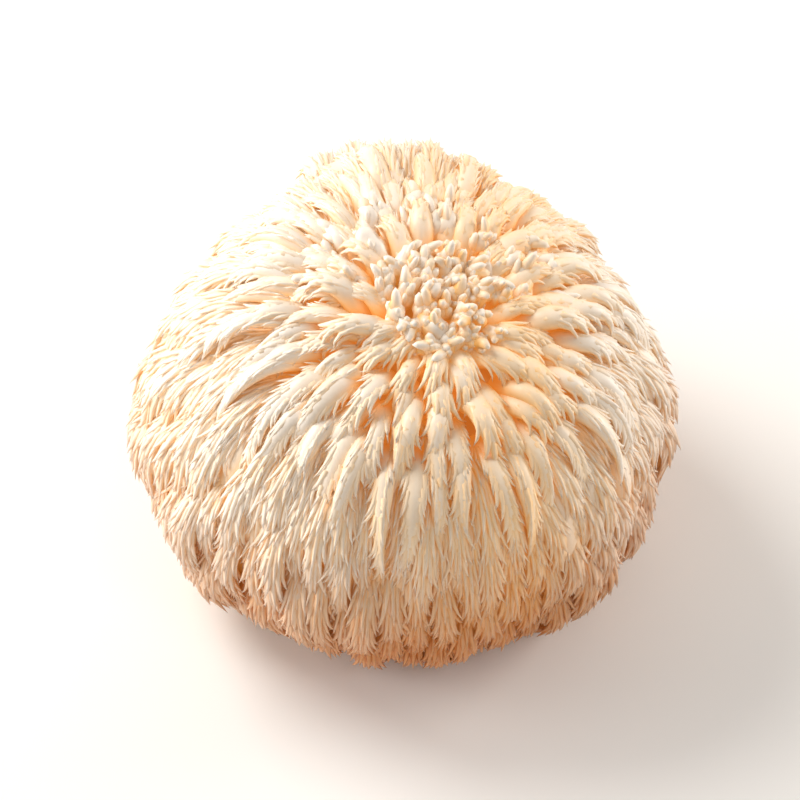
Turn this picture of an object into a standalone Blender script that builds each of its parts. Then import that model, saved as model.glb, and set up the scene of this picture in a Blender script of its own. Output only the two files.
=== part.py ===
# Lion's mane mushroom: one fruiting body, cut off flat where it grew.
# A turned flesh body carries rows of drooping locks that part from a whorl near
# its top. Each lock is a curved horn, and all of them are joined to the flesh in
# one solid. Metres, +Z up, origin in the middle of the cut face.

import math

import bmesh
import bpy
import numpy as np

# Flesh: an ellipsoid that narrows to the cut face at z = 0.
FLESH_RADIUS = 0.0675
FLESH_HALF_HEIGHT = 0.0545
FLESH_CENTRE_Z = 0.0485
FLESH_STEPS = 20
FLESH_SIDES = 32
CUT_RADIUS = 0.0310
FOOT_TOP_Z = 0.0180
FOOT_BEND_SHARE = 0.35
FOOT_BEND_WIDTH = 1.34

# The whole mushroom grows narrower towards its back, by this share at the very back.
BACK_NARROWING = 0.36

# Whorl: the way from the middle of the flesh to the point that the locks part from.
# Rows of locks ring the whorl near it, and lie level from LEVEL_ANGLE down. A lock runs
# away from the whorl up to HANG_FROM, and straight down the flesh from HANG_ANGLE on.
WHORL = np.array((0.150, -0.260, 0.954))
LEVEL_ANGLE = 110.0
HANG_FROM = 14.0
HANG_ANGLE = 52.0

# Rows of locks from the whorl down. Angles are degrees from the whorl, lift is
# degrees out of the surface where a lock leaves the flesh, height is how far
# above the flesh its middle line runs, stand is the share by which it runs higher
# at the very back, and pull is how strongly it hangs.
ROW_FIELDS = ("angle", "count", "length", "radius", "lift", "height", "stand", "pull", "taper")
ROW_VALUES = (
    (3.0, 3, 0.0100, 0.0042, 84.0, 0.0085, 0.0, 0.0, 0.4),
    (10.0, 8, 0.0105, 0.0044, 80.0, 0.0085, 0.0, 0.0, 0.4),
    (18.0, 12, 0.0160, 0.0047, 72.0, 0.0085, 0.0, 0.0, 0.5),
    (27.0, 17, 0.0200, 0.0049, 62.0, 0.0082, 0.0, 0.1, 0.5),
    (37.5, 21, 0.0260, 0.0050, 48.0, 0.0070, 0.3, 0.2, 0.6),
    (51.0, 23, 0.0350, 0.0052, 34.0, 0.0056, 0.5, 0.3, 0.7),
    (67.0, 24, 0.0370, 0.0053, 28.0, 0.0051, 0.5, 0.4, 0.7),
    (84.0, 23, 0.0360, 0.0053, 26.0, 0.0049, 0.5, 0.6, 0.7),
    (101.0, 21, 0.0310, 0.0050, 24.0, 0.0047, 0.4, 0.8, 0.7),
    (117.0, 16, 0.0230, 0.0047, 22.0, 0.0043, 0.3, 1.0, 0.7),
    (130.0, 12, 0.0090, 0.0036, 34.0, 0.0034, 0.0, 0.8, 0.7),
)
ROWS = [dict(zip(ROW_FIELDS, values)) for values in ROW_VALUES]
LOCK_SHARES = (0.0, 0.34, 0.70, 1.0)
ROOT_DEPTH = 0.0045
ROOT_WIDTH = 0.72
FULL_SHARE = 0.40
TIP_RADIUS = 0.0003
TRACE_STEPS = 24
TURN_RATE = 0.20
FLOOR_CLEARANCE = 0.0012

# A lock's middle line starts at this share of its row's height and rises by the next.
# It climbs in full where it is CLIMB_REACH too low, within the limits on steepness.
LOW_SHARE = 0.45
RISE_SHARE = 0.75
CLIMB_REACH = 0.0040
STEEPEST_FALL = -0.8
STEEPEST_CLIMB = 1.2

# How far each lock strays from its row: turn as a share of the spacing, angle and
# lift in degrees, length and radius as shares of the row's own, veer as a slope.
WANDER = dict(turn=0.20, angle=3.0, length=0.12, radius=0.10, lift=5.0, veer=0.20)
SEED = 21

FLESH_COLOUR = (0.93, 0.80, 0.64, 1.0)


def clear_scene():
    for obj in list(bpy.data.objects):
        bpy.data.objects.remove(obj)


def new_collection(name):
    collection = bpy.data.collections.new(name)
    bpy.context.scene.collection.children.link(collection)
    return collection


def flesh_material():
    material = bpy.data.materials.new("mushroom_flesh")
    material.use_nodes = True
    shader = material.node_tree.nodes["Principled BSDF"]
    shader.inputs["Base Color"].default_value = FLESH_COLOUR
    shader.inputs["Roughness"].default_value = 0.55
    shader.inputs["Metallic"].default_value = 0.0
    return material


def unit(vectors):
    return vectors / np.maximum(np.linalg.norm(vectors, axis=-1, keepdims=True), 1e-9)


WHORL_AXIS = unit(WHORL)
UP = np.array((0.0, 0.0, 1.0))
BACK = np.array((0.0, 1.0, 0.0))
HALF_AXES = np.array((FLESH_RADIUS, FLESH_RADIUS, FLESH_HALF_HEIGHT))
FLESH_CENTRE = np.array((0.0, 0.0, FLESH_CENTRE_Z))


def flesh_point(angle, turn):
    """The point of the flesh at this angle down from the whorl and this turn round it, in degrees."""
    level = min(angle / LEVEL_ANGLE, 1.0) ** 2
    axis = unit((1.0 - level) * WHORL_AXIS + level * UP)
    right = unit(np.cross(BACK, axis))
    a = math.radians(angle)
    t = math.radians(turn)
    across = math.cos(t) * right + math.sin(t) * np.cross(axis, right)
    return FLESH_CENTRE + HALF_AXES * (math.cos(a) * axis + math.sin(a) * across)


def surface_frame(point):
    """Height above the flesh, the way out of it, and the way that a lock runs along it."""
    ball = (point - FLESH_CENTRE) / HALF_AXES
    size = np.linalg.norm(ball)
    ball = ball / size
    slope = ball / HALF_AXES
    steep = np.linalg.norm(slope)
    angle = math.degrees(math.acos(min(ball @ WHORL_AXIS, 1.0)))
    hang = min(max((angle - HANG_FROM) / (HANG_ANGLE - HANG_FROM), 0.0), 1.0)
    axis = unit((1.0 - hang) * WHORL_AXIS + hang * UP)
    along = HALF_AXES * (ball * (ball @ axis) - axis)
    return (size - 1.0) / steep, slope / steep, unit(along)


def lock_seeds():
    """One row per lock: its place round the whorl and its size, with nature's unevenness."""
    rng = np.random.RandomState(SEED)
    seeds = []
    for number, row in enumerate(ROWS):
        step = 360.0 / row["count"]
        for i in range(row["count"]):
            stray = {key: rng.uniform(-most, most) for key, most in WANDER.items()}
            turn = (i + 0.5 * (number % 2) + stray["turn"]) * step
            back = max(math.sin(math.radians(turn)), 0.0)
            seeds.append(dict(
                row,
                turn=turn,
                height=row["height"] * (1.0 + row["stand"] * back),
                angle=row["angle"] + stray["angle"],
                length=row["length"] * (1.0 + stray["length"]),
                radius=row["radius"] * (1.0 + stray["radius"]),
                lift=row["lift"] + stray["lift"],
                veer=stray["veer"],
            ))
    return seeds


def trace_lock(seed):
    """The middle line of a lock: it leaves the flesh at its lift, then lies over and hangs."""
    start = flesh_point(seed["angle"], seed["turn"])
    _, out, along = surface_frame(start)
    lift = math.radians(seed["lift"])
    heading = unit(math.sin(lift) * out + math.cos(lift) * along)
    place = start - ROOT_DEPTH * heading
    step = (seed["length"] + ROOT_DEPTH) / TRACE_STEPS
    line = [place]
    for i in range(TRACE_STEPS):
        height, out, along = surface_frame(place)
        share = (i + 1) / TRACE_STEPS
        short = seed["height"] * (LOW_SHARE + RISE_SHARE * share) - height
        climb = np.clip(short / CLIMB_REACH, STEEPEST_FALL, STEEPEST_CLIMB)
        wanted = unit(along + seed["veer"] * np.cross(out, along) + climb * out)
        wanted = wanted - seed["pull"] * share ** 2 * UP
        heading = unit(heading + TURN_RATE * (unit(wanted) - heading))
        place = place + step * heading
        line.append(place)
    return np.array(line)


def above_floor(line, radius):
    """The line cut short where the lock would reach what the mushroom stands on."""
    share = np.linspace(0.0, 1.0, len(line))
    lowest = line[:, 2] - radius * np.sqrt(1.0 - share)
    low = np.nonzero(lowest < FLOOR_CLEARANCE)[0]
    return line if len(low) == 0 else line[: max(low[0], 2)]


def lock_width(share, taper):
    """A lock's thickness along it: narrow where it leaves the flesh, full, then drawn to a tip."""
    if share < FULL_SHARE:
        return ROOT_WIDTH + (1.0 - ROOT_WIDTH) * math.sin(share / FULL_SHARE * math.pi / 2)
    return ((1.0 - share) / (1.0 - FULL_SHARE)) ** taper


def lock_guide(name, seed, collection):
    """A curved horn as a bevelled curve through the lock's middle line."""
    line = above_floor(trace_lock(seed), seed["radius"])
    curve = bpy.data.curves.new(name, "CURVE")
    curve.dimensions = "3D"
    curve.bevel_depth = 1.0
    curve.bevel_resolution = 0
    curve.use_fill_caps = True
    spline = curve.splines.new("POLY")
    spline.points.add(len(LOCK_SHARES) - 1)
    for point, share in zip(spline.points, LOCK_SHARES):
        place = line[int(round(share * (len(line) - 1)))]
        point.co = (*place, 1.0)
        point.radius = max(seed["radius"] * lock_width(share, seed["taper"]), TIP_RADIUS)
    guide = bpy.data.objects.new(name, curve)
    collection.objects.link(guide)
    return guide


def welded_mesh(guide, graph):
    """The curve's closed mesh: caps sewn to the sides, and the tip drawn into one point."""
    mesh = bpy.data.meshes.new_from_object(guide.evaluated_get(graph))
    work = bmesh.new()
    work.from_mesh(mesh)
    bmesh.ops.remove_doubles(work, verts=work.verts, dist=2.0 * TIP_RADIUS)
    bmesh.ops.recalc_face_normals(work, faces=work.faces)
    work.to_mesh(mesh)
    work.free()
    return mesh


def add_locks(collection):
    """Every lock as its own closed mesh, ready to be joined to the flesh."""
    guides = [lock_guide(f"line_{i:03d}", seed, collection) for i, seed in enumerate(lock_seeds())]
    bpy.context.view_layer.update()
    graph = bpy.context.evaluated_depsgraph_get()
    meshes = [welded_mesh(guide, graph) for guide in guides]
    for i, (guide, mesh) in enumerate(zip(guides, meshes)):
        lock = bpy.data.objects.new(f"lock_{i:03d}", mesh)
        lock.matrix_world = guide.matrix_world
        lock.hide_render = True
        lock.display_type = "WIRE"
        collection.objects.link(lock)
        bpy.data.objects.remove(guide)


def flesh_outline():
    """Radius and height pairs down the outer side, from the top to the middle of the cut."""
    outline = []
    for i in range(FLESH_STEPS + 1):
        angle = math.pi * i / FLESH_STEPS
        z = FLESH_CENTRE_Z + FLESH_HALF_HEIGHT * math.cos(angle)
        if z < FOOT_TOP_Z:
            break
        outline.append((FLESH_RADIUS * math.sin(angle), z))
    outline.append((CUT_RADIUS * FOOT_BEND_WIDTH, FOOT_TOP_Z * FOOT_BEND_SHARE))
    outline.append((CUT_RADIUS, 0.0))
    outline.append((0.0, 0.0))
    return outline


def add_flesh(material, collection):
    """The body under the locks, turned about +Z."""
    outline = flesh_outline()
    mesh = bpy.data.meshes.new("fruiting_body")
    mesh.from_pydata([(r, 0.0, z) for r, z in outline], [(i, i + 1) for i in range(len(outline) - 1)], [])
    mesh.materials.append(material)
    flesh = bpy.data.objects.new("fruiting_body", mesh)
    collection.objects.link(flesh)
    turning = flesh.modifiers.new("turn", "SCREW")
    turning.steps = FLESH_SIDES
    turning.render_steps = FLESH_SIDES
    turning.use_merge_vertices = True
    turning.merge_threshold = 0.00005
    return flesh


def join_locks(flesh, locks):
    """The locks are joined to the flesh, and to each other where they cross."""
    joining = flesh.modifiers.new("join_locks", "BOOLEAN")
    joining.operation = "UNION"
    joining.solver = "EXACT"
    joining.operand_type = "COLLECTION"
    joining.collection = locks


def narrow_back(body):
    """The back half is drawn in from both sides, and its heights stay."""
    narrowing = body.modifiers.new("narrow_back", "SIMPLE_DEFORM")
    narrowing.deform_method = "TAPER"
    narrowing.deform_axis = "Y"
    narrowing.factor = -BACK_NARROWING
    narrowing.limits = (0.5, 1.0)
    narrowing.lock_z = True


def main():
    clear_scene()
    body = new_collection("lions_mane_mushroom")
    locks = new_collection("lock_cutters")
    flesh = add_flesh(flesh_material(), body)
    add_locks(locks)
    join_locks(flesh, locks)
    narrow_back(flesh)


main()
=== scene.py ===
import math

import bpy
import numpy as np
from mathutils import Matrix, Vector


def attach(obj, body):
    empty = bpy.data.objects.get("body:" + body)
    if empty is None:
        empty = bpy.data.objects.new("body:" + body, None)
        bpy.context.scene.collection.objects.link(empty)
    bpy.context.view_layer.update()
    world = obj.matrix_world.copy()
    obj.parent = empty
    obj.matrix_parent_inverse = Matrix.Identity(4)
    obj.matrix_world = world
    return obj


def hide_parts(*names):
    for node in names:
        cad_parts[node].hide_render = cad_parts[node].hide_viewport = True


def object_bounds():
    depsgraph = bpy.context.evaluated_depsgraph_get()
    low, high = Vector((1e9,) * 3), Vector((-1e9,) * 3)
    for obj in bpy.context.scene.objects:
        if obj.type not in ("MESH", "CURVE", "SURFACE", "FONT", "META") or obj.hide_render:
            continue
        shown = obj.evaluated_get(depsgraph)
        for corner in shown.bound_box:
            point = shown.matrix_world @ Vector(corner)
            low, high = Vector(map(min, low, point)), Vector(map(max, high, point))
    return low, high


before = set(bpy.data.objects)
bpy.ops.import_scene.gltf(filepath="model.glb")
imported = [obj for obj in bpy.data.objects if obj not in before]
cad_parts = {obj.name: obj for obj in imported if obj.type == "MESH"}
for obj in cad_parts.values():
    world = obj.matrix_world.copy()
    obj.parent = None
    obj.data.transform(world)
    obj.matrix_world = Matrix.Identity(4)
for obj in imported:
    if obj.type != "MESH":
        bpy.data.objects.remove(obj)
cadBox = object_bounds()
rng = np.random.RandomState(7)


# vectors, one per row of an array

def unit(v):
    return v / np.maximum(np.linalg.norm(v, axis=-1, keepdims=True), 1e-9)


def dot(a, b):
    return np.sum(a * b, axis=-1, keepdims=True)


def lerp(a, b, t):
    return a + (b - a) * t


def bump(distance, width):
    return np.exp(-(distance / width) ** 2)


# the flesh that everything grows from, at the solid's own sizes in metres

flesh = dict(
    radius=0.0675,
    halfHeight=0.0545,
    centreZ=0.0485,
    cutRadius=0.0310,
    footTop=0.0180,
    whorl=(0.150, -0.260, 0.954),  # the way to the point that the locks part from
    levelAngle=110.0,              # rows ring the whorl near it, and lie level from here down
    hangFrom=14.0,                 # fronds run away from the whorl near it,
    hangAngle=52.0,                # and straight down the flesh from this angle on
    backNarrowing=0.36,            # share by which the very back is drawn in
)
halfAxes = np.array((flesh["radius"], flesh["radius"], flesh["halfHeight"]))
centre = np.array((0.0, 0.0, flesh["centreZ"]))
whorlAxis = unit(np.array(flesh["whorl"]))
upAxis = np.array((0.0, 0.0, 1.0))
backAxis = np.array((0.0, 1.0, 0.0))
backEnd = cadBox[1][1]


def fleshPoint(angle, turn):
    # angle down from the whorl and turn round it, both in degrees
    level = np.minimum(angle / flesh["levelAngle"], 1.0)[:, None] ** 2
    axis = unit(lerp(whorlAxis, upAxis, level))
    right = unit(np.cross(backAxis, axis))
    a = np.radians(angle)[:, None]
    t = np.radians(turn)[:, None]
    across = np.cos(t) * right + np.sin(t) * np.cross(axis, right)
    return centre + halfAxes * (np.cos(a) * axis + np.sin(a) * across)


def fleshFrame(points):
    # height over the flesh, the way out of it, and the way along it from the whorl
    ball = (points - centre) / halfAxes
    size = np.linalg.norm(ball, axis=-1, keepdims=True)
    ball = ball / size
    slope = ball / halfAxes
    steep = np.linalg.norm(slope, axis=-1, keepdims=True)
    angle = np.degrees(np.arccos(np.clip(dot(ball, whorlAxis), -1.0, 1.0)))
    hang = np.clip((angle - flesh["hangFrom"]) / (flesh["hangAngle"] - flesh["hangFrom"]), 0.0, 1.0)
    axis = unit(lerp(whorlAxis, upAxis, hang))
    along = halfAxes * (ball * dot(ball, axis) - axis)
    return (size - 1.0) / steep, slope / steep, unit(along)


def narrowed(points):
    # the fronds grow on the round body, which is then drawn in towards its back
    share = flesh["backNarrowing"] * np.clip(points[..., 1] / backEnd, 0.0, 1.0)
    points = points.copy()
    points[..., 0] *= 1.0 - share
    return points


# fronds: rings of them at an angle from the whorl, or at a way down the columns in metres, all the
# way round or only from one turn to another; what a row says replaces what its kind says

frondRows = (
    dict(kind="nub", angle=13.0, count=64, spiral=1),
    dict(kind="nub", angle=17.0, count=24, turns=(5, 175), flow=0.6, length=0.0130, wander=1.6),
    dict(kind="nub", angle=22.0, count=28, turns=(5, 175), flow=0.8, length=0.0150, wander=2.0),
    dict(kind="arch", angle=10.0, count=18, turns=(185, 355), length=0.0150, teeth=9),
    dict(kind="arch", angle=14.0, count=20, length=0.0185),
    dict(kind="arch", angle=19.0, count=27, turns=(255, 60), length=0.0215),
    dict(kind="tuft", angle=19.0, count=27, turns=(60, 255), length=0.0215),
    dict(kind="arch", angle=24.5, count=32, turns=(290, 40)),
    dict(kind="tuft", angle=24.5, count=32, turns=(40, 290), length=0.0300),
    dict(kind="tuft", angle=30.0, count=40, length=0.0360, teeth=40),
    dict(kind="lock", angle=35.0, count=44, length=0.0440, lift=46),
    dict(kind="strand", down=0.006, count=54),
    dict(kind="lock", down=-0.004, count=54),
    dict(kind="lock", down=0.022, count=54),
    dict(kind="lock", down=0.048, count=54),
    dict(kind="lock", down=0.072, count=54, length=0.0360, teeth=44, pale=0.03),
    dict(kind="hem", down=0.086, count=54, length=0.0240),
    dict(kind="hem", angle=126.0, count=44, length=0.0180),
)

# what a frond has unless its kind says otherwise; lengths are in metres and lifts in degrees

plainFrond = dict(
    wide=1.30,          # how much wider than high it is
    hump=0.0,           # 1 where its line arches over, 0 where it only rises
    climb=1.2,          # the steepest that it rises
    turnRate=0.16,      # how quickly it bends
    flow=1.0,           # how much it runs along the flesh
    pull=0.3,           # how much it droops
    taper=0.70,         # less is blunter
    lumps=0.08,         # share of its radius
    pale=0.0,           # how much paler it is
    cone=0.0,           # 1 where its teeth are claws
    bluntness=0.0,      # 1 where their ends are round
    hook=0.0,           # share of their length that they bend back in by
    fan=0.03,           # and spread sideways by
)

# veer and wander are how far a frond strays in its heading and its angle, root is how thick it is at
# its root, and fullness is where along it it is full; its teeth sit in lanes, as far round it as
# toothRound, sunk into it by toothSink of their width, and lift off by toothLift of their length

frondKinds = dict(
    nub=dict(
        length=0.0098, radius=0.0026, wide=1.0, lift=87, height=0.0088, climb=3.5, pull=0.0,
        flow=0.05, veer=0.5, wander=0.9, root=0.62, fullness=0.72, taper=0.35, lumps=0.60, pale=0.13,
        rings=12, lanes=5, teeth=5, toothStart=0.40, toothEnd=0.90, toothLength=0.0044,
        toothWidth=0.00150, bluntness=0.95, toothSink=0.62, toothLift=0.06, fan=0.0,
        toothRound=1.0, toothSpread=0.80,
    ),
    arch=dict(
        length=0.0240, radius=0.0030, wide=1.26, lift=78, height=0.0092, hump=1.0, climb=1.6, pull=0.5,
        veer=0.22, wander=2.0, root=0.92, fullness=0.40, taper=0.50, lumps=0.12,
        rings=14, lanes=5, teeth=10, toothStart=0.46, toothEnd=0.88, toothLength=0.0088,
        toothWidth=0.00112, cone=0.7, hook=0.26, toothSink=0.60, toothLift=0.06, fan=0.15,
        toothRound=0.46, toothSpread=0.80,
    ),
    tuft=dict(
        length=0.0260, radius=0.0025, lift=66, height=0.0080, hump=0.6, climb=1.6, pull=0.4,
        veer=0.16, wander=2.2, root=0.80, fullness=0.36, taper=0.75, lumps=0.12,
        rings=14, lanes=6, teeth=32, toothStart=0.02, toothEnd=0.88, toothLength=0.0088,
        toothWidth=0.00098, cone=0.3, hook=0.10, toothSink=0.50, toothLift=0.11, fan=0.045,
        toothRound=0.54, toothSpread=0.45,
    ),
    strand=dict(
        length=0.1060, radius=0.0030, wide=1.35, lift=40, height=0.0018, pull=0.1,
        veer=0.03, wander=4.0, root=0.45, fullness=0.45, taper=0.45, pale=-0.04, turnRate=0.30,
        rings=34, lanes=6, teeth=74, toothStart=0.02, toothEnd=0.92, toothLength=0.0120,
        toothWidth=0.00096, toothSink=0.46, toothLift=0.08, toothRound=0.50, toothSpread=0.80,
    ),
    lock=dict(
        length=0.0490, radius=0.0026, lift=32, height=0.0044,
        veer=0.05, wander=4.0, root=0.78, fullness=0.28,
        rings=18, lanes=7, teeth=58, toothStart=-0.02, toothEnd=0.88, toothLength=0.0120,
        toothWidth=0.00096, toothSink=0.46, toothLift=0.10, toothRound=0.54, toothSpread=0.36,
    ),
    hem=dict(
        length=0.0220, radius=0.0023, lift=30, height=0.0034, pull=1.2,
        veer=0.06, wander=3.2, root=0.85, fullness=0.24, taper=0.75, pale=0.07,
        rings=12, lanes=6, teeth=26, toothStart=0.02, toothEnd=0.82, toothLength=0.0105,
        toothWidth=0.00094, toothSink=0.46, toothLift=0.09, toothRound=0.52, toothSpread=0.40,
    ),
)

# the locks below the crown hang in columns, which start here and run down the flesh

columns = dict(
    count=54,
    angle=31.0,         # degrees down from the whorl
    steps=60,
    step=0.0020,
    uneven=0.14,        # share of the gap between columns that they stray by
    stagger=0.024,      # the locks of each column start up to this much lower,
    phaseStep=0.618,    # by shares of it that neighbours never have alike,
    phaseStray=0.3,
    ragged=0.0030,      # and a little unevenly down it
)

# how much the fronds of a row differ, as shares of their own numbers

variety = dict(
    place=0.28,         # of the gap to the next frond
    length=0.20,
    radius=0.13,
    lift=7.0,           # degrees
    height=0.20,
)

growth = dict(
    rootDepth=0.0050,   # how deep in the flesh a frond starts
    steps=30,
    overrun=1.30,       # the line runs on past the tip, for the teeth that reach past it
    lastShare=1.2,      # where on the line it stops rising and bending more
    rise=(0.45, 0.70),  # shares of its height that a frond starts at and gains,
    arch=(0.20, 0.72),  # or where on a half wave it starts, and how much of the wave it runs
    easing=0.0040,      # height over which a line comes to its own
    steepestDown=-0.8,
    lumpSize=0.0030,
    lumpWaves=7,        # waves that add up to the lumps,
    lumpRate=1.8,       # how fast they turn over one lump,
    lumpPhase=1.7,      # how far each is ahead of the one before,
    lumpGain=1.6,       # and what brings their mean back to about 1
    limbSides=10,
    toothShares=(0.0, 0.24, 0.58, 0.82, 1.0),
    toothThick=(0.50, 1.0, 0.84, 0.45, 0.0),
    coneThick=1.05,     # a claw is this thick at its root, and thins by this power of what is left
    conePower=0.75,
    sinkShares=(0.0, 0.24, 0.58, 1.0),
    sinkDepths=(2.6, 1.2, 0.72, -0.3),  # how deep it sinks in its frond, in its own sinks
    toothLengths=0.25,  # how much the teeth of a frond differ, as shares
    toothWidths=0.22,
    toothLifts=0.5,
    toothStray=0.04,    # and how far their ends stray sideways,
    toothTwist=0.08,    # turn round their frond,
    toothSag=0.05,      # and sink, as shares of their length
    toothTone=0.2,      # share of its tone that is a tooth's own
    toothSides=4,
    crownToothSides=5,
    flyaway=0.4,        # how much further the few teeth that stray lift off
    flyawayFrom=0.80,
    edgeFlare=0.7,      # and how much further all lift off along a frond's edges
    laneStep=3,         # lanes from one tooth to the next, so that neighbours end apart
    laneJitter=0.30,
    spiralTurn=137.508, # degrees from one to the next where a row is a filled spiral
    crownShift=6.0,     # degrees that the crown's middle lies behind the whorl
    crownReach=40.0,    # the shift fades out by this angle
    farWide=0.60,       # how much wider fronds are where the columns lie furthest apart,
    farTurn=125.0,      # which is at this turn, on the side away from the whorl
    backStand=0.8,      # how much more the fronds stand out at the back,
    backHeight=0.7,     # of which this share is in height
    backLift=0.4,       # and this in lift,
    lowStand=0.8,       # less this share of it round one turn, at the back's right
    lowStandAt=65.0,
    lowStandWidth=20.0,
    floor=0.0012,       # nothing hangs lower than this
    floorFrom=0.0070,   # and what comes below this is drawn up smoothly
)

paint = dict(
    lowest=-0.0010,     # heights over the flesh, for the darkest and the palest: painted shade deep down, painted highlight high up
    highest=0.0090,
    # limbs and teeth are painted paler with height over the flesh and along their crests (painted
    # highlight) and darker in the gaps (painted shade); teeth are paler towards their tips
    limbHeight=0.46, limbCrest=0.42,
    limbCoverShade=0.08, coverFrom=0.26, coverFade=0.2,  # a limb gets painted shade where teeth cover it
    ridge=0.38,         # share of the crest that is each tube's own, which paints shade on each tube's flanks and so draws its edges
    toothBase=-0.06, toothHeight=0.34, toothCrest=0.46, toothShare=0.24,
    tanAndShade=0.09, tanAndShadeMost=0.86,          # and all of it darker and browner low down, partly the older flesh browning there and partly painted shade where the foot turns away from the light,
    tanAndShadeBelow=0.076, tanAndShadeFull=0.020,
    tanAndShadeAcross=(0.50, 1.0, 0.60),     # though less so at the sides, where the side lights fall, from left to right
    paintedLightAt=(-1.0, 0.0, 0.5, 1.0),    # painted light and shade from the left side to the right: paler at the left and far right where the lamps fall, darker just right of the middle
    paintedLightAcross=(0.17, 0.02, -0.09, 0.18),
    glowBelow=0.85,                  # painted glow, standing in for light that seeps through, where the depth is less than this
    glowLow=0.10, glowFull=0.085,    # but little of it near the foot, and
    glowLeft=0.3,                    # this much more of it at the left, where the key light falls,
    glowBehind=0.9, glowFade=0.030,  # and hardly any low down behind
)

# how much further than evenly the locks reach, by the turn from the right side

reach = dict(
    upperTurns=(0.0, 14.0, 26.0, 38.0, 52.0, 69.0, 85.0,
                97.0, 115.0, 131.0, 145.0, 165.0, 180.0, 230.0),
    upper=(0.0, 0.0, 0.0045, 0.0040, -0.0020, -0.0070, -0.0050,
           0.0005, 0.0030, -0.0020, -0.0040, -0.0015, -0.0030, 0.0010),
    lowerTurns=(0.0, 180.0, 195.0, 211.0, 240.0, 255.0, 270.0, 288.0, 300.0, 323.0, 340.0, 355.0),
    lower=(0.0, 0.0, 0.0010, 0.0035, 0.0010, 0.0, 0.0030, 0.0010, 0.0020, 0.0065, 0.0070, 0.0030),
    upperFrom=0.052,    # heights over the floor
    lowerFrom=0.044,
    crownFrom=0.098,
    fade=0.014,
)

partings = dict(
    turns=(14.0, 52.0, 96.0, 131.0, 168.0, 204.0, 236.0, 271.0, 297.0, 331.0),
    width=6.0,          # degrees
    sink=0.0022,        # how much lower the locks run in a parting
    away=0.06,          # and how far they lean away from it
)


def only(values, chosen):
    return {key: value[chosen] for key, value in values.items()}


def columnPath(n):
    # points down the middle of every column, and of the valleys after them
    turn = (np.arange(2 * n) / 2.0 + columns["uneven"] * rng.uniform(-1.0, 1.0, 2 * n)) * 360.0 / n
    place = fleshPoint(np.full(2 * n, columns["angle"]), turn)
    path = [place]
    for _ in range(columns["steps"]):
        height, out, along = fleshFrame(place)
        place = place + columns["step"] * along - height * out
        path.append(place)
    return np.stack(path, axis=1)


def startsDown(path, down):
    # the point this far down each path
    x = np.clip(down / columns["step"], 0.0, columns["steps"] - 1e-4)
    low = x.astype(int)
    rows = np.arange(len(path))
    return lerp(path[rows, low], path[rows, low + 1], (x - low)[:, None])


def plantFronds():
    # every frond's own numbers, as one array for each value
    fronds = {}
    path = columnPath(columns["count"])
    phase = np.arange(columns["count"]) * columns["phaseStep"]
    phase = phase + columns["phaseStray"] * rng.uniform(0.0, 1.0, columns["count"])
    phase = columns["stagger"] * (phase % 1.0)
    for number, row in enumerate(frondRows):
        kind = dict(plainFrond, **frondKinds[row["kind"]])
        kind.update({key: value for key, value in row.items() if key != "kind"})
        n = row["count"]
        u = rng.uniform(-1.0, 1.0, (8, n))
        place = np.arange(n) + 0.5 * (number % 2) + variety["place"] * u[0]
        turn = place * 360.0 / n
        angle = np.full(n, kind.get("angle", columns["angle"]))
        first, last = kind.pop("turns", (0, 360))
        if kind.pop("spiral", 0):
            turn = place * growth["spiralTurn"]
            angle = kind["angle"] * np.sqrt((np.arange(n) + 0.5) / n)
        own = dict(
            turn=turn % 360.0,
            angle=angle + kind["wander"] * u[1],
            length=kind["length"] * (1.0 + variety["length"] * u[2]),
            radius=kind["radius"] * (1.0 + variety["radius"] * u[3]),
            lift=kind["lift"] + variety["lift"] * u[4],
            height=kind["height"] * (1.0 + variety["height"] * u[5]),
            veer=kind["veer"] * u[6],
            tone=0.5 + 0.5 * u[7],
            isCrown=np.full(n, float(row["kind"] in ("nub", "arch", "tuft"))),
        )
        for key in kind:
            if key not in own and key not in ("count", "wander", "down"):
                own[key] = np.full(n, float(kind[key]))
        towardsBack = np.sin(np.radians(own["turn"]))
        back = np.clip(towardsBack, 0.0, 1.0) * growth["backStand"]
        lower = bump(own["turn"] - growth["lowStandAt"], growth["lowStandWidth"])
        back = back * (1.0 - growth["lowStand"] * lower)
        if row["kind"] in ("lock", "strand"):
            own["height"] = own["height"] * (1.0 + growth["backHeight"] * back)
            own["lift"] = own["lift"] * (1.0 + growth["backLift"] * back)
            own["pull"] = own["pull"] * (1.0 - back)
        if "down" in row:
            far = np.cos(np.radians(own["turn"] - growth["farTurn"]))
            own["wide"] = own["wide"] * (1.0 + growth["farWide"] * np.clip(far, 0.0, 1.0))
        own = only(own, (own["turn"] - first) % 360.0 <= (last - first - 1) % 360 + 1)
        shiftCrown(own)
        own["start"] = fleshPoint(own["angle"], own["turn"])
        if "down" in row:
            isValley = int(row["kind"] == "strand")
            down = row["down"] + columns["ragged"] * u[1] + phase * (1 - isValley)
            own["start"] = startsDown(path[isValley::2], down)
            own["turn"] = np.degrees(np.arctan2(own["start"][:, 1], own["start"][:, 0])) % 360.0
            partLocks(own)
        for key, values in own.items():
            fronds.setdefault(key, []).append(values)
    return {key: np.concatenate(values) for key, values in fronds.items()}


def shiftCrown(own):
    # rings near the whorl are centred behind it
    shift = growth["crownShift"] * np.clip(1.0 - own["angle"] / growth["crownReach"], 0.0, 1.0)
    t = np.radians(own["turn"])
    right, back = own["angle"] * np.cos(t), own["angle"] * np.sin(t) + shift
    own["angle"] = np.hypot(right, back)
    own["turn"] = np.degrees(np.arctan2(back, right)) % 360.0


def partLocks(own):
    # locks sink into the partings and lean away from them
    off = (own["turn"][:, None] - np.array(partings["turns"]) + 180.0) % 360.0 - 180.0
    near = bump(off, partings["width"])
    own["height"] -= partings["sink"] * near.max(axis=1)
    own["veer"] += partings["away"] * (np.sign(off) * bump(off, 2.0 * partings["width"])).sum(axis=1)


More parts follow.
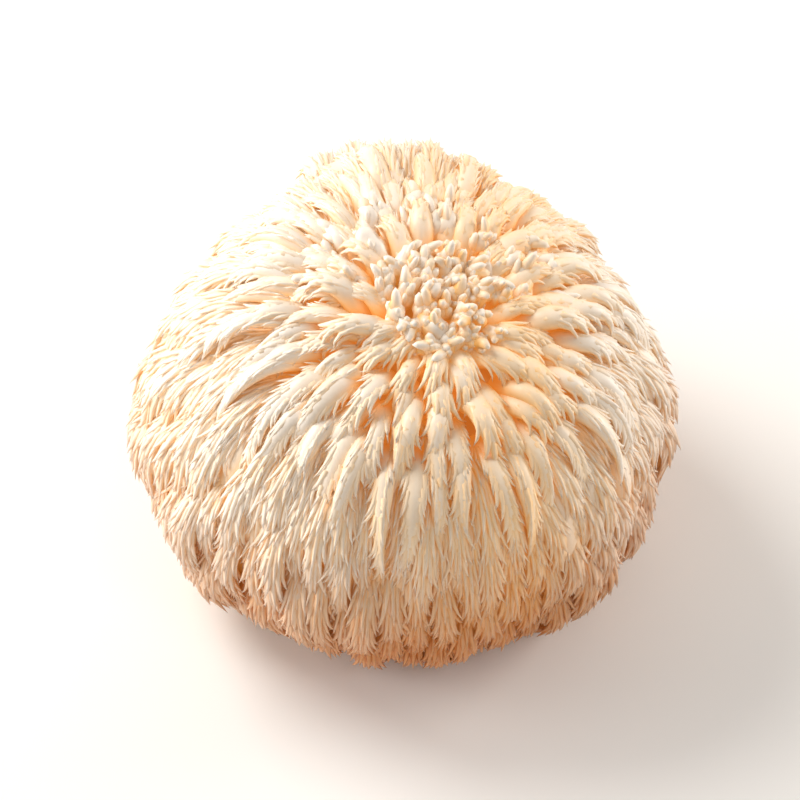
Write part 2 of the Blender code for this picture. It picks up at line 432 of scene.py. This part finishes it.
def reachAt(place):
    # how much further than evenly a lock reaches here
    turn = np.degrees(np.arctan2(place[:, 1], place[:, 0])) % 360.0
    z = place[:, 2]
    isUpper = np.clip((z - reach["upperFrom"]) / reach["fade"], 0.0, 1.0)
    isUpper = isUpper * np.clip((reach["crownFrom"] - z) / reach["fade"], 0.0, 1.0)
    isLower = np.clip((reach["lowerFrom"] - z) / reach["fade"], 0.0, 1.0)
    upper = np.interp(turn, reach["upperTurns"], reach["upper"], period=360.0)
    return isUpper * upper + isLower * np.interp(turn, reach["lowerTurns"], reach["lower"], period=360.0)


def growLines(f):
    # middle lines: out of the flesh at their lift, then over and down
    start = f["start"]
    _, out, along = fleshFrame(start)
    lift = np.radians(f["lift"])[:, None]
    heading = unit(np.sin(lift) * out + np.cos(lift) * along)
    place = start - growth["rootDepth"] * heading
    whole = f["length"] + growth["rootDepth"]
    step = (whole * growth["overrun"] / growth["steps"])[:, None]
    line = [place]
    outs = [out]
    for i in range(growth["steps"]):
        share = min((i + 1) / growth["steps"] * growth["overrun"], growth["lastShare"])
        height, out, along = fleshFrame(place)
        rising = growth["rise"][0] + growth["rise"][1] * share
        arching = math.sin(math.pi * (growth["arch"][0] + growth["arch"][1] * share))
        further = reachAt(place) * (1.0 - f["isCrown"])
        wantedHeight = (further + f["height"] * lerp(rising, arching, f["hump"]))[:, None]
        climb = (wantedHeight - height) / growth["easing"]
        climb = np.clip(climb, growth["steepestDown"], f["climb"][:, None])
        flow = f["flow"][:, None]
        wanted = unit(flow * along + f["veer"][:, None] * np.cross(out, along) + climb * out)
        wanted = wanted - f["pull"][:, None] * share ** 2 * upAxis
        heading = unit(heading + f["turnRate"][:, None] * (unit(wanted) - heading))
        place = place + step * heading
        line.append(place)
        outs.append(out)
    line = np.stack(line, axis=1)
    ahead = unit(np.gradient(line, axis=1))
    outs = np.stack(outs, axis=1)
    outs = unit(outs - dot(outs, ahead) * ahead)
    return dict(line=line, out=outs, side=np.cross(ahead, outs))


def limbRadius(f, share):
    # narrow at the root, full at its fullness share, then drawn to a tip
    full = f["fullness"][:, None]
    swell = lerp(f["root"][:, None], 1.0, np.sin(np.clip(share / full, 0.0, 1.0) * math.pi / 2))
    fade = np.clip((1.0 - share) / (1.0 - full), 0.0, 1.0) ** f["taper"][:, None]
    return f["radius"][:, None] * swell * fade


def alongLine(values, share):
    # a value of the middle lines, read between their points; share 1 is the frond's tip
    steps = growth["steps"]
    x = np.clip(share / growth["overrun"] * steps, 0.0, steps - 1e-4)
    low = x.astype(int)
    rows = np.arange(len(values))[:, None]
    t = (x - low)[..., None]
    return lerp(values[rows, low], values[rows, low + 1], t)


def liftOffFloor(points):
    # what would hang to the floor is drawn up to just over it
    low, start = growth["floor"], growth["floorFrom"]
    z = points[..., 2]
    room = start - low
    soft = low + room * np.exp(np.minimum(z - start, 0.0) / room)
    points[..., 2] = np.where(z < start, soft, z)
    return points


def ripple(points, size):
    # waves of about this size, from all ways at once, that come to about -1 to 1
    count = growth["lumpWaves"]
    waves = np.random.RandomState(3).normal(size=(count, 3)) * growth["lumpRate"] / size
    phases = np.arange(count) * growth["lumpPhase"]
    return np.sin(points @ waves.T + phases).mean(axis=-1) * growth["lumpGain"]


# where on the map each tube has its side and its root, in a cell of its own

layout = dict(
    sideFrom=0.20,
    sideTo=0.97,
    rootAt=(0.5, 0.09),
    rootSize=0.07,
    margin=0.06,
    limbsBelow=0.2,     # limbs lie below this on the map, and teeth above it
)


def tubes(points, radii, wide, lumps, up, out, sides, extra):
    # closed tapered tubes, all at once: points and up are (tubes, rings, 3), radii (tubes, rings),
    # wide says how much wider than high each one is, and the last point of each is its tip;
    # crest is 1 where a tube faces out of the flesh and -1 where it faces in, and is
    # used for painted highlight on faces turned out and painted shade on faces turned in
    n, k = radii.shape
    final = narrowed(points)
    ahead = unit(np.gradient(final, axis=1))
    up = unit(up - dot(up, ahead) * ahead)
    side = np.cross(ahead, up) * wide[:, None, None]
    turn = np.arange(sides) * 2.0 * math.pi / sides
    rings = k - 1
    around = up[:, :rings, None] * np.cos(turn)[:, None] + side[:, :rings, None] * np.sin(turn)[:, None]
    size = growth["lumpSize"]
    uneven = 1.0 + lumps[:, None, None] * ripple(points[:, :rings, None] + size * around, size)
    facing = unit(around)
    outward = dot(facing, out[:, :rings, None])
    ridge = dot(facing, up[:, :rings, None])
    # painted highlight where a face turns out of the flesh and up its own tube, painted shade on its flanks
    # and on faces turned in
    crest = lerp(outward, ridge, paint["ridge"])[..., 0].reshape(n, rings * sides)
    around = (radii[:, :rings, None] * uneven)[..., None] * around
    each = rings * sides + 1

    def cornersOf(middle):
        corners = (middle[:, :rings, None] + around).reshape(n, rings * sides, 3)
        return np.concatenate([corners, middle[:, rings:]], axis=1).reshape(-1, 3)

    i, j = np.meshgrid(np.arange(rings - 1), np.arange(sides), indexing="ij")
    beside = (j + 1) % sides
    ring = i * sides
    following = ring + sides
    quad = np.stack([ring + j, ring + beside, following + beside, following + j], axis=-1)
    v = np.linspace(layout["sideFrom"], layout["sideTo"], k)
    quadUv = np.stack([
        np.stack([j / sides, v[i]], -1), np.stack([(j + 1) / sides, v[i]], -1),
        np.stack([(j + 1) / sides, v[i + 1]], -1), np.stack([j / sides, v[i + 1]], -1)], axis=2)
    s = np.arange(sides)
    last = (rings - 1) * sides
    tip = np.stack([last + s, last + (s + 1) % sides, np.full(sides, each - 1)], axis=-1)
    tipUv = np.stack([
        np.stack([s / sides, np.full(sides, v[-2])], -1),
        np.stack([(s + 1) / sides, np.full(sides, v[-2])], -1),
        np.stack([(s + 0.5) / sides, np.full(sides, v[-1])], -1)], axis=1)
    root = np.arange(sides)[::-1]
    rootUv = layout["rootSize"] * np.stack([np.cos(turn), np.sin(turn)], -1) + layout["rootAt"]
    rootUv = rootUv[::-1]

    base = (np.arange(n) * each)[:, None, None]
    values = {key: np.repeat(value, each) for key, value in extra.items()}
    values["share"] = np.tile(np.concatenate([np.repeat(np.arange(rings) / rings, sides), [1.0]]), n)
    values["crest"] = np.concatenate([crest, np.ones((n, 1))], axis=1).ravel()
    return dict(
        n=n, verts=liftOffFloor(cornersOf(final)), values=values,
        heights=fleshFrame(cornersOf(points))[0][:, 0],
        quads=(base + quad.reshape(1, -1, 4)).reshape(-1, 4), quadUv=quadUv.reshape(-1, 4, 2),
        tips=(base + tip[None]).reshape(-1, 3), tipUv=tipUv,
        roots=base[:, 0] + root[None], rootUv=rootUv,
    )


def cellUv(uv, n, area):
    # the same small layout, repeated in its own cell of the map for each of n tubes
    x0, y0, x1, y1 = area
    across = max(int(math.ceil(math.sqrt(n * (x1 - x0) / (y1 - y0)))), 1)
    down = int(math.ceil(n / across))
    cell = np.array(((x1 - x0) / across, (y1 - y0) / down))
    corner = np.stack([np.arange(n) % across, np.arange(n) // across], -1) * cell + (x0, y0)
    inner = layout["margin"] + (1.0 - 2.0 * layout["margin"]) * uv
    return corner.reshape((n,) + (1,) * (uv.ndim - 1) + (2,)) + inner[None] * cell


def paintDepth(group):
    # 0 in the gaps by the flesh, 1 at the outermost tips and along the crests: painted shade in the gaps
    # and painted highlight on the tips and crests; also the painted glow, and the tan with its painted
    # shade low down
    value = group["values"]
    height = np.clip((group["heights"] - paint["lowest"]) / (paint["highest"] - paint["lowest"]), 0.0, 1.0)
    crest = 0.5 + 0.5 * value["crest"]
    spine = value.pop("spine")
    share = value.pop("share")
    limb = paint["limbHeight"] * height + paint["limbCrest"] * crest
    # painted shade on a limb where its teeth cover it
    covered = np.clip((share - paint["coverFrom"]) / paint["coverFade"], 0.0, 1.0) * value.pop("cover")
    limb -= paint["limbCoverShade"] * covered
    tooth = paint["toothBase"] + paint["toothHeight"] * height + paint["toothCrest"] * crest
    tooth += paint["toothShare"] * share
    value.pop("crest")
    sideways = np.clip(group["verts"][:, 0] / flesh["radius"], -1.0, 1.0)
    level = lerp(limb, tooth, spine)
    # tan low down, partly browning and partly painted shade, less at the sides where the side lights fall
    low = (paint["tanAndShadeBelow"] - group["verts"][:, 2]) / (paint["tanAndShadeBelow"] - paint["tanAndShadeFull"])
    low = np.clip(low, 0.0, paint["tanAndShadeMost"]) * np.interp(sideways, (-1.0, 0.0, 1.0), paint["tanAndShadeAcross"])
    # each frond's own paleness, then painted light and shade across from left to right
    level += value.pop("pale") + np.interp(sideways, paint["paintedLightAt"], paint["paintedLightAcross"])
    # painted glow in the gaps: more at the left where the key light falls, little near the foot and hardly
    # any low down behind
    gap = np.clip(1.0 - level / paint["glowBelow"], 0.0, 1.0)
    gap = gap * (1.0 + paint["glowLeft"] * np.clip(-sideways, 0.0, 1.0))
    behind = np.clip(group["verts"][:, 1] / paint["glowFade"], 0.0, 1.0)
    behind = behind * np.clip((paint["glowFull"] - group["verts"][:, 2]) / paint["glowFade"], 0.0, 1.0)
    gap = gap * (1.0 - paint["glowBehind"] * behind)
    value["glow"] = gap * np.clip(group["verts"][:, 2] / paint["glowFull"], paint["glowLow"], 1.0)
    value["depth"] = level - paint["tanAndShade"] * low
    value["low"] = low


def meshOfTubes(name, groups):
    # one mesh of several groups of tubes, each with its own part of the map
    verts, faces, uvs, values = [], [], [], {}
    base = 0
    for group, area in groups:
        paintDepth(group)
        verts.append(group["verts"])
        n = group["n"]
        for key, uvKey in (("quads", "quadUv"), ("tips", "tipUv"), ("roots", "rootUv")):
            faces += (group[key] + base).tolist()
            uvs.append(cellUv(group[uvKey], n, area).reshape(-1, 2))
        base += len(group["verts"])
        for key, value in group["values"].items():
            values.setdefault(key, []).append(value)
    mesh = bpy.data.meshes.new(name)
    mesh.from_pydata(np.concatenate(verts).tolist(), [], faces)
    layer = mesh.uv_layers.new(name="OFBake")
    layer.data.foreach_set("uv", np.concatenate(uvs).ravel())
    for key, value in values.items():
        data = np.concatenate(value).astype(np.float32)
        mesh.attributes.new(key, "FLOAT", "POINT").data.foreach_set("value", data)
    mesh.shade_smooth()
    mesh.update()
    piece = bpy.data.objects.new(name, mesh)
    bpy.context.scene.collection.objects.link(piece)
    return piece


def growLimbs(f, lines, rings):
    share = np.linspace(0.0, 1.0, rings + 1)[None] * np.ones((len(f["turn"]), 1))
    points = liftOffFloor(alongLine(lines["line"], share))
    # mantle limbs get painted shade where their teeth cover them
    covered = (f["isCrown"] < 0.5).astype(float)
    out = alongLine(lines["out"], share)
    return tubes(points, limbRadius(f, share), f["wide"], f["lumps"], out, out, growth["limbSides"],
                 dict(tone=f["tone"], pale=f["pale"], spine=np.zeros(len(share)), cover=covered))


def growTeeth(f, lines, sides):
    # a tooth is a ridge along its frond, fused with it until its sharp end lifts off
    counts = f["teeth"].astype(int)
    owner = np.repeat(np.arange(len(counts)), counts)
    order = np.concatenate([np.arange(c) for c in counts])
    m = len(owner)
    u = rng.uniform(-1.0, 1.0, (8, m))
    g = {key: value[owner] for key, value in f.items()}
    length = g["toothLength"] * (1.0 + growth["toothLengths"] * u[1])
    width = g["toothWidth"] * (1.0 + growth["toothWidths"] * u[4])
    t = np.broadcast_to(growth["toothShares"], (m, len(growth["toothShares"])))
    run = (order + 0.5 + 0.5 * u[0]) / counts[owner]
    lengthShare = length / (g["length"] + growth["rootDepth"])
    begin = lerp(g["toothStart"], g["toothEnd"], run)
    share = begin[:, None] + lengthShare[:, None] * t
    lane = (order * growth["laneStep"] + 2.0 * owner) % g["lanes"]
    phi = (2.0 * (lane + 0.5 + growth["laneJitter"] * u[2]) / g["lanes"] - 1.0) * math.pi * g["toothRound"]
    line = lines["line"][owner]
    out = alongLine(lines["out"][owner], share)
    side = alongLine(lines["side"][owner], share)
    turned = phi[:, None] * (1.0 + growth["toothTwist"] * t)
    away = np.cos(turned)[..., None] * out + np.sin(turned)[..., None] * side
    across = np.cos(turned)[..., None] * out + (np.sin(turned) * g["wide"][:, None])[..., None] * side
    limb = limbRadius(g, np.clip(share, 0.0, 1.0))
    kept = np.maximum(limb, limb[:, :1] * lerp(1.0, g["toothSpread"][:, None], t))
    sink = g["toothSink"][:, None] * np.interp(t, growth["sinkShares"], growth["sinkDepths"])
    flyaway = 1.0 + growth["toothLifts"] * u[3] + growth["flyaway"] * (u[7] > growth["flyawayFrom"])
    flyaway = flyaway * (1.0 + growth["edgeFlare"] * np.sin(phi) ** 2)
    stand = (length * g["toothLift"] * flyaway)[:, None] * t ** 3
    splay = (length * g["fan"] * np.sin(phi))[:, None] * t ** 3
    points = alongLine(line, share) + (kept - sink * width[:, None])[..., None] * across
    points = points + stand[..., None] * away + splay[..., None] * side
    points = points - ((g["hook"] * length)[:, None] * t ** 3)[..., None] * out
    points = points + (growth["toothStray"] * length * u[6])[:, None, None] * (t ** 2)[..., None] * side
    points[..., 2] -= growth["toothSag"] * length[:, None] * t ** 2 * g["pull"][:, None]
    points = liftOffFloor(points)
    thick = np.interp(t, growth["toothShares"], growth["toothThick"])
    claw = growth["coneThick"] * (1.0 - t) ** growth["conePower"]
    blunt = np.sqrt(np.clip(1.0 - t ** 3, 0.0, 1.0))
    thick = np.maximum(lerp(thick, claw, g["cone"][:, None]), g["bluntness"][:, None] * blunt)
    toothTone = growth["toothTone"]
    tone = g["tone"] * (1.0 - 2.0 * toothTone) + toothTone + toothTone * u[5]
    return tubes(points, width[:, None] * thick, np.ones(m), np.zeros(m), away, out, sides,
                 dict(tone=tone, pale=g["pale"], spine=np.ones(m), cover=np.zeros(m)))


# shader maths as plain expressions

class Wire:
    def __init__(self, nodes, socket):
        self.nodes, self.socket = nodes, socket

    def maths(self, operation, a, b):
        return self.nodes.add("ShaderNodeMath", dict(operation=operation), {0: a, 1: b})

    def __add__(self, other):
        return self.maths("ADD", self, other)

    def __radd__(self, other):
        return self.maths("ADD", other, self)

    def __sub__(self, other):
        return self.maths("SUBTRACT", self, other)

    def __rsub__(self, other):
        return self.maths("SUBTRACT", other, self)

    def __mul__(self, other):
        return self.maths("MULTIPLY", self, other)

    def __rmul__(self, other):
        return self.maths("MULTIPLY", other, self)


class Nodes:
    def __init__(self, name):
        self.material = bpy.data.materials.new(name)
        self.material.use_nodes = True
        self.tree = self.material.node_tree
        self.shader = self.tree.nodes["Principled BSDF"]

    def add(self, kind, settings=None, sockets=None, output=0):
        node = self.tree.nodes.new(kind)
        for key, value in (settings or {}).items():
            if key == "stops":
                ramp = node.color_ramp
                while len(ramp.elements) < len(value):
                    ramp.elements.new(1.0)
                for stop, (place, colour) in zip(ramp.elements, value):
                    stop.position = place
                    stop.color = colour
            else:
                setattr(node, key, value)
        for key, value in (sockets or {}).items():
            self.plug(node.inputs[key], value)
        return Wire(self, node.outputs[output])

    def plug(self, socket, value):
        if isinstance(value, Wire):
            self.tree.links.new(value.socket, socket)
        else:
            socket.default_value = value

    def values(self, name):
        return self.add("ShaderNodeAttribute", dict(attribute_name=name), output="Fac")

    def noise(self, scale, detail):
        place = self.add("ShaderNodeTexCoord", output="Object")
        return self.add("ShaderNodeTexNoise", None, {"Vector": place, "Scale": scale, "Detail": detail})


def sRgb(red, green, blue):
    def linear(c):
        c = c / 255.0
        return c / 12.92 if c <= 0.04045 else ((c + 0.055) / 1.055) ** 2.4
    return (linear(red), linear(green), linear(blue), 1.0)


skin = dict(
    deep=sRgb(212, 142, 50),
    low=sRgb(236, 174, 90),
    middle=sRgb(250, 205, 147),
    high=sRgb(253, 227, 194),
    tip=sRgb(255, 243, 229),
    places=(0.10, 0.36, 0.57, 0.78, 0.98),  # depths of these five, from the painted shade of the gaps to the painted highlight of the tips
    tanAndShade=sRgb(216, 146, 54),                 # what all of them are multiplied by at the foot: browning of the older flesh together with painted shade
    ownTone=0.08,
    broadScale=55.0, broadTone=0.20, broadRough=0.25,
    fineScale=900.0, fineTone=0.08,
    grain=0.35, grainDepth=0.00018,
    roughness=0.40,
    specular=0.35,
    coat=0.15,
    coatRoughness=0.30,
    paintedGlow=sRgb(232, 172, 76),                # painted glow in the gaps, standing in for light that seeps through the flesh
    paintedGlowStrength=0.42,
)


def skinMaterial():
    m = Nodes("mushroom_skin")
    broad = m.noise(skin["broadScale"], 3.0)
    fine = m.noise(skin["fineScale"], 3.0)
    # painted shade in the gaps and painted highlight on crests and tips, with each frond's own random tone
    level = m.values("depth") + (m.values("tone") - 0.5) * skin["ownTone"]
    level = level + (broad - 0.5) * skin["broadTone"] + (fine - 0.5) * skin["fineTone"]
    colours = [skin[name] for name in ("deep", "low", "middle", "high", "tip")]
    colour = m.add("ShaderNodeValToRGB", dict(stops=tuple(zip(skin["places"], colours))), {0: level})
    # multiplied by the tan colour low down: browning of the older flesh with painted shade
    colour = m.add("ShaderNodeMix", dict(data_type="RGBA", blend_type="MULTIPLY"),
                   {0: m.values("low"), 6: colour, 7: skin["tanAndShade"]}, output=2)
    # emission: painted glow in the gaps, standing in for light through the flesh
    paintedGlowColour = m.add("ShaderNodeVectorMath", dict(operation="SCALE"),
                    {0: skin["paintedGlow"][:3], "Scale": m.values("glow")})
    grain = m.add("ShaderNodeBump", None,
                  {"Strength": skin["grain"], "Distance": skin["grainDepth"], "Height": fine})
    m.plug(m.shader.inputs["Base Color"], colour)
    m.plug(m.shader.inputs["Roughness"], skin["roughness"] + (broad - 0.5) * skin["broadRough"])
    m.plug(m.shader.inputs["Emission Color"], paintedGlowColour)
    m.plug(m.shader.inputs["Normal"], grain)
    m.shader.inputs["Emission Strength"].default_value = skin["paintedGlowStrength"]
    m.shader.inputs["Specular IOR Level"].default_value = skin["specular"]
    m.shader.inputs["Coat Weight"].default_value = skin["coat"]
    m.shader.inputs["Coat Roughness"].default_value = skin["coatRoughness"]
    m.material.cycles.emission_sampling = "NONE"
    return m.material


# pieces: the crown, and the mantle in sectors

print("planting the fronds")
fronds = plantFronds()
lines = growLines(fronds)
skinLook = skinMaterial()
sectors = ("front", "front_right", "back_right", "back", "back_left", "front_left")
sectorStart = 240.0     # turn where the first one starts
sectorTurn = 360.0 / len(sectors)


def frondPiece(name, chosen, toothSides):
    f, own = only(fronds, chosen), only(lines, chosen)
    groups = []
    ringCounts = np.unique(f["rings"])
    for number, rings in enumerate(ringCounts):
        same = f["rings"] == rings
        area = (number / len(ringCounts), 0.0, (number + 1) / len(ringCounts), layout["limbsBelow"])
        groups.append((growLimbs(only(f, same), only(own, same), int(rings)), area))
    groups.append((growTeeth(f, own, toothSides), (0.0, layout["limbsBelow"], 1.0, 1.0)))
    piece = meshOfTubes(name, groups)
    piece.data.materials.append(skinLook)
    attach(piece, "root")


isCrown = fronds["isCrown"] > 0.5
print("growing the crown")
frondPiece("crown_fronds", isCrown, growth["crownToothSides"])
sector = ((fronds["turn"] - sectorStart) % 360.0 // sectorTurn).astype(int)
for number, name in enumerate(sectors):
    print("growing the mantle:", name)
    frondPiece(f"mantle_{name}", ~isCrown & (sector == number), growth["toothSides"])


# the flesh itself, seen only between the fronds and on the cut

core = dict(
    sides=96,
    rings=48,
    footRings=8,
    cutRings=(0.75, 0.5, 0.25),
    colours=((0.0, sRgb(222, 160, 84)), (0.5, sRgb(232, 180, 108)), (1.0, sRgb(240, 198, 136))),
    broadScale=120.0,
    poreScale=1400.0,
    pores=0.5,
    poreDepth=0.0003,
    roughness=0.5,
    uneven=0.2,
    paintedGlowShare=0.22,     # share of the skin's painted glow
)


def coreOutline():
    # radius and height from below the top down to the edge of the cut
    outline = []
    for i in range(1, core["rings"]):
        a = math.pi * i / core["rings"]
        z = flesh["centreZ"] + flesh["halfHeight"] * math.cos(a)
        if z < flesh["footTop"]:
            break
        outline.append((flesh["radius"] * math.sin(a), z))
    lowRadius, lowZ = outline[-1]
    for i in range(1, core["footRings"] + 1):
        a = i / core["footRings"] * math.pi / 2
        outline.append((lerp(lowRadius, flesh["cutRadius"], math.sin(a)), lerp(lowZ, 0.0, 1 - math.cos(a))))
    return outline + [(flesh["cutRadius"] * share, 0.0) for share in core["cutRings"]]


def coreMesh():
    n = core["sides"]
    turn = np.arange(n) * 2.0 * math.pi / n
    rings = [[(r * math.cos(t), r * math.sin(t), z) for t in turn] for r, z in coreOutline()]
    verts = [(0.0, 0.0, flesh["centreZ"] + flesh["halfHeight"])]
    verts += [point for ring in rings for point in ring]
    verts.append((0.0, 0.0, 0.0))
    faces = [(0, 1 + j, 1 + (j + 1) % n) for j in range(n)]
    for i in range(len(rings) - 1):
        a = 1 + i * n
        faces += [(a + j, a + n + j, a + n + (j + 1) % n, a + (j + 1) % n) for j in range(n)]
    a = 1 + (len(rings) - 1) * n
    faces += [(a + j, len(verts) - 1, a + (j + 1) % n) for j in range(n)]
    mesh = bpy.data.meshes.new("flesh")
    mesh.from_pydata(narrowed(np.array(verts)).tolist(), [], faces)
    mesh.shade_smooth()
    return mesh


def fleshMaterial():
    m = Nodes("mushroom_flesh_inside")
    broad = m.noise(core["broadScale"], 4.0)
    pores = m.noise(core["poreScale"], 4.0)
    grain = m.add("ShaderNodeBump", None,
                  {"Strength": core["pores"], "Distance": core["poreDepth"], "Height": pores})
    m.plug(m.shader.inputs["Base Color"],
           m.add("ShaderNodeValToRGB", dict(stops=core["colours"]), {0: broad}))
    m.plug(m.shader.inputs["Roughness"], core["roughness"] + broad * core["uneven"])
    m.plug(m.shader.inputs["Normal"], grain)
    # a weaker painted glow on the flesh between the fronds
    m.shader.inputs["Emission Color"].default_value = skin["paintedGlow"]
    m.shader.inputs["Emission Strength"].default_value = skin["paintedGlowStrength"] * core["paintedGlowShare"]
    m.material.cycles.emission_sampling = "NONE"
    return m.material


print("shaping the flesh inside")
coreBody = bpy.data.objects.new("flesh_core", coreMesh())
bpy.context.scene.collection.objects.link(coreBody)
coreBody.data.materials.append(fleshMaterial())
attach(coreBody, "root")
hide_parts("fruiting_body")


# floor, light and camera

studio = dict(
    target=(0.0005, 0.0, 0.0480),
    elevation=52.0,
    distance=0.80,
    lens=128.0,
    floor=sRgb(250, 249, 247),
    floorReach=3.0,
    floorRoughness=0.8,
    lights=(
        ("key_upper_left", (-0.60, 0.35, 0.75), 0.60, 8.1, (1.0, 0.97, 0.925)),
        ("rim_left", (-0.90, 0.05, 0.22), 0.50, 4.8, (1.0, 0.98, 0.95)),
        ("rim_right", (0.85, 0.30, 0.30), 0.50, 5.0, (1.0, 0.95, 0.89)),
        ("soft_front_right", (0.35, -0.45, 0.80), 0.25, 0.6, (0.96, 0.97, 1.0)),
    ),                  # name, place, size, watts and colour
    sky=(1.0, 0.965, 0.925, 1.0),
    skyStrength=0.38,
)


def addFloor():
    mesh = bpy.data.meshes.new("floor")
    far = studio["floorReach"]
    mesh.from_pydata([(-far, -far, 0), (far, -far, 0), (far, far, 0), (-far, far, 0)], [], [(0, 1, 2, 3)])
    floor = bpy.data.objects.new("floor", mesh)
    bpy.context.scene.collection.objects.link(floor)
    m = Nodes("pale_floor")
    m.shader.inputs["Base Color"].default_value = studio["floor"]
    m.shader.inputs["Roughness"].default_value = studio["floorRoughness"]
    mesh.materials.append(m.material)


def addLight(name, place, size, watts, colour):
    lamp = bpy.data.lights.new(name, "AREA")
    lamp.shape = "DISK"
    lamp.size = size
    lamp.energy = watts
    lamp.color = colour
    light = bpy.data.objects.new(name, lamp)
    light.location = place
    bpy.context.scene.collection.objects.link(light)
    aim(light, studio["target"])


def aim(obj, target):
    way = Vector(target) - obj.location
    obj.rotation_euler = way.to_track_quat("-Z", "Y").to_euler()


print("setting the floor, lights and camera")
addFloor()
for light in studio["lights"]:
    addLight(*light)
world = bpy.data.worlds.new("studio")
world.use_nodes = True
sky = world.node_tree.nodes["Background"]
sky.inputs["Color"].default_value = studio["sky"]
sky.inputs["Strength"].default_value = studio["skyStrength"]
bpy.context.scene.world = world

bpy.context.scene.view_settings.view_transform = "Standard"
camera = bpy.data.objects.new("camera", bpy.data.cameras.new("camera"))
bpy.context.scene.collection.objects.link(camera)
up = math.radians(studio["elevation"])
camera.location = (
    studio["target"][0],
    studio["target"][1] - studio["distance"] * math.cos(up),
    studio["target"][2] + studio["distance"] * math.sin(up),
)
camera.data.lens = studio["lens"]
aim(camera, studio["target"])
bpy.context.scene.camera = camera
